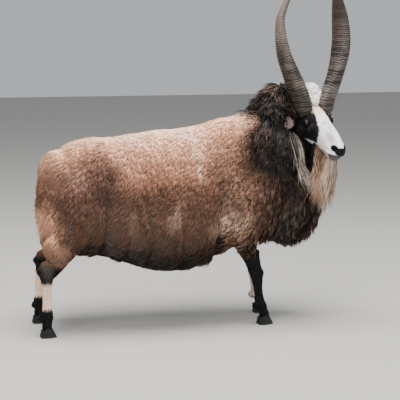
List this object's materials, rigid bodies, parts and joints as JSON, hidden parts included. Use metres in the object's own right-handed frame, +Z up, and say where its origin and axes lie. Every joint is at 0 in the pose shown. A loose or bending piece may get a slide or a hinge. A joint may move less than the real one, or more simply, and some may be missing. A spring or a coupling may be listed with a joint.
{
  "type": "jacob sheep ram",
  "caption": "Standing Jacob ram with tall ridged horns, deep brown fleece, black ruff and blazed face, as a still museum model",
  "frame": {"origin": "on the floor, under the middle of the bounding box", "axes": "+X points forward along the body, +Y to the animal's left, +Z up; the head is turned to -Y"},
  "size_m": [1.0948, 0.4927, 1.1793],
  "materials": {
    "torso": "dense wool, pale on the back and dark below",
    "neck": "long black hair",
    "head": "short black and white hair, white blaze",
    "tail": "wool",
    "horn_left": "ridged dark horn",
    "horn_right": "ridged grey-brown horn",
    "ear_left": "short dark hair",
    "ear_right": "short grey-brown hair",
    "eye_left": "wet and glossy",
    "eye_right": "wet and glossy",
    "leg_fore_left": "short hair, black above and white below the knee",
    "leg_fore_right": "short black hair",
    "leg_hind_left": "short cream hair below a dark hock",
    "leg_hind_right": "short hair, cream cannon, black pastern",
    "hoof_fore_left_a": "dark hoof horn",
    "hoof_fore_left_b": "dark hoof horn",
    "hoof_fore_right_a": "dark hoof horn",
    "hoof_fore_right_b": "dark hoof horn",
    "hoof_hind_left_a": "dark hoof horn",
    "hoof_hind_left_b": "dark hoof horn",
    "hoof_hind_right_a": "dark hoof horn",
    "hoof_hind_right_b": "dark hoof horn"
  },
  "bodies": {
    "root": {"torso": "torso", "neck": "neck", "head": "head", "tail": "tail", "horn_left": "horn_left", "horn_right": "horn_right", "ear_left": "ear_left", "ear_right": "ear_right", "eye_left": "eye_left", "eye_right": "eye_right", "leg_fore_left": "leg_fore_left", "leg_fore_right": "leg_fore_right", "leg_hind_left": "leg_hind_left", "leg_hind_right": "leg_hind_right", "hoof_fore_left_a": "hoof_fore_left_a", "hoof_fore_left_b": "hoof_fore_left_b", "hoof_fore_right_a": "hoof_fore_right_a", "hoof_fore_right_b": "hoof_fore_right_b", "hoof_hind_left_a": "hoof_hind_left_a", "hoof_hind_left_b": "hoof_hind_left_b", "hoof_hind_right_a": "hoof_hind_right_a", "hoof_hind_right_b": "hoof_hind_right_b"}
  },
  "joints": []
}
